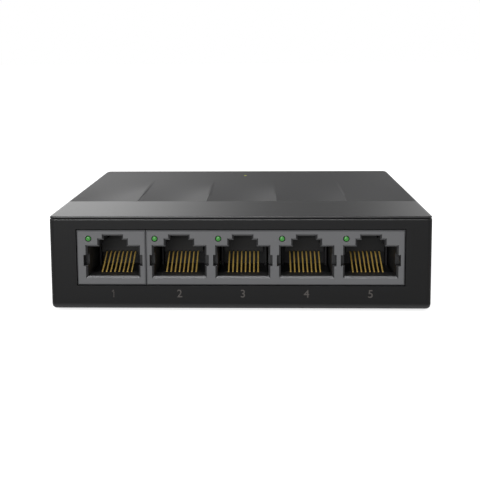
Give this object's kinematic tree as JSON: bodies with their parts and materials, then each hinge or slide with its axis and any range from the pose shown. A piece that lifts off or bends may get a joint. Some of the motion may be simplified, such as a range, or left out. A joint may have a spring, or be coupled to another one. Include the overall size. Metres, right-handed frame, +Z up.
{
  "type": "desktop network switch",
  "caption": "Low rectangular desktop network switch with a row of modular jacks in front, a pleated cover, lamps by the jacks and a barrel power inlet behind.",
  "frame": {"origin": "under the middle of the case, on the surface that the feet stand on", "axes": "-Y faces the user and the ports, +X is to the right of someone facing the ports, +Z up"},
  "size_m": [0.09, 0.072, 0.023],
  "materials": {
    "case_plastic": "fine satin moulding grain",
    "cover_plastic": "satin front strip, finer matte grain on the pleats",
    "jack_plastic": "smooth satin",
    "carrier_plastic": "smooth",
    "contact_gold": "gold plated wire",
    "light_pipe_plastic": "clear, tinted by its lamp",
    "lamp_resin": "translucent resin",
    "foot_rubber": "matte",
    "screw_steel": "zinc plated",
    "crystal_can": "drawn can",
    "board_laminate": "green solder mask",
    "chip_resin": "moulded epoxy",
    "ferrite": "fired ferrite",
    "capacitor_sleeve": "printed sleeve left plain",
    "inlet_plastic": "smooth"
  },
  "bodies": {
    "case": {"bottom_shell": "case_plastic", "top_cover": "cover_plastic", "foot_front_left": "foot_rubber", "foot_front_right": "foot_rubber", "foot_rear_left": "foot_rubber", "foot_rear_right": "foot_rubber", "case_screw_left": "screw_steel", "case_screw_right": "screw_steel", "board_screw_left": "screw_steel", "board_screw_right": "screw_steel", "circuit_board": "board_laminate", "switch_chip": "chip_resin", "crystal": "crystal_can", "regulator": "chip_resin", "power_inductor": "ferrite", "input_capacitor": "capacitor_sleeve", "output_capacitor": "capacitor_sleeve", "transformer_1": "chip_resin", "status_lamp_1": "lamp_resin", "light_pipe_1": "light_pipe_plastic", "transformer_2": "chip_resin", "status_lamp_2": "lamp_resin", "light_pipe_2": "light_pipe_plastic", "transformer_3": "chip_resin", "status_lamp_3": "lamp_resin", "light_pipe_3": "light_pipe_plastic", "transformer_4": "chip_resin", "status_lamp_4": "lamp_resin", "light_pipe_4": "light_pipe_plastic", "transformer_5": "chip_resin", "status_lamp_5": "lamp_resin", "light_pipe_5": "light_pipe_plastic", "power_lamp": "lamp_resin", "power_light_pipe": "light_pipe_plastic", "jack_housing_port_1": "jack_plastic", "jack_housing_ports_2_to_5": "jack_plastic", "contact_carrier_1": "carrier_plastic", "contact_carrier_2": "carrier_plastic", "contact_carrier_3": "carrier_plastic", "contact_carrier_4": "carrier_plastic", "contact_carrier_5": "carrier_plastic", "inlet_housing": "inlet_plastic", "inlet_pin": "screw_steel", "inlet_terminal": "contact_gold"},
    "port_1_contacts": {"contact_springs_1": "contact_gold"},
    "port_2_contacts": {"contact_springs_2": "contact_gold"},
    "port_3_contacts": {"contact_springs_3": "contact_gold"},
    "port_4_contacts": {"contact_springs_4": "contact_gold"},
    "port_5_contacts": {"contact_springs_5": "contact_gold"},
    "inlet_contact": {"inlet_leaf": "contact_gold"}
  },
  "joints": [
    {"name": "contacts_1", "type": "hinge", "parent": "case", "child": "port_1_contacts", "pos_m": [-0.03, -0.0307, 0.00815], "axis": [-1, 0, 0], "range_deg": [0, 12], "stiffness_Nm_per_rad": 0.25},
    {"name": "contacts_2", "type": "hinge", "parent": "case", "child": "port_2_contacts", "pos_m": [-0.0143, -0.0307, 0.00815], "axis": [-1, 0, 0], "range_deg": [0, 12], "stiffness_Nm_per_rad": 0.25},
    {"name": "contacts_3", "type": "hinge", "parent": "case", "child": "port_3_contacts", "pos_m": [0.0007, -0.0307, 0.00815], "axis": [-1, 0, 0], "range_deg": [0, 12], "stiffness_Nm_per_rad": 0.25},
    {"name": "contacts_4", "type": "hinge", "parent": "case", "child": "port_4_contacts", "pos_m": [0.0157, -0.0307, 0.00815], "axis": [-1, 0, 0], "range_deg": [0, 12], "stiffness_Nm_per_rad": 0.25},
    {"name": "contacts_5", "type": "hinge", "parent": "case", "child": "port_5_contacts", "pos_m": [0.0307, -0.0307, 0.00815], "axis": [-1, 0, 0], "range_deg": [0, 12], "stiffness_Nm_per_rad": 0.25},
    {"name": "inlet_contact", "type": "hinge", "parent": "case", "child": "inlet_contact", "pos_m": [0.014, 0.0263, 0.0084], "axis": [-1, 0, 0], "range_deg": [0, 3], "stiffness_Nm_per_rad": 0.25}
  ]
}
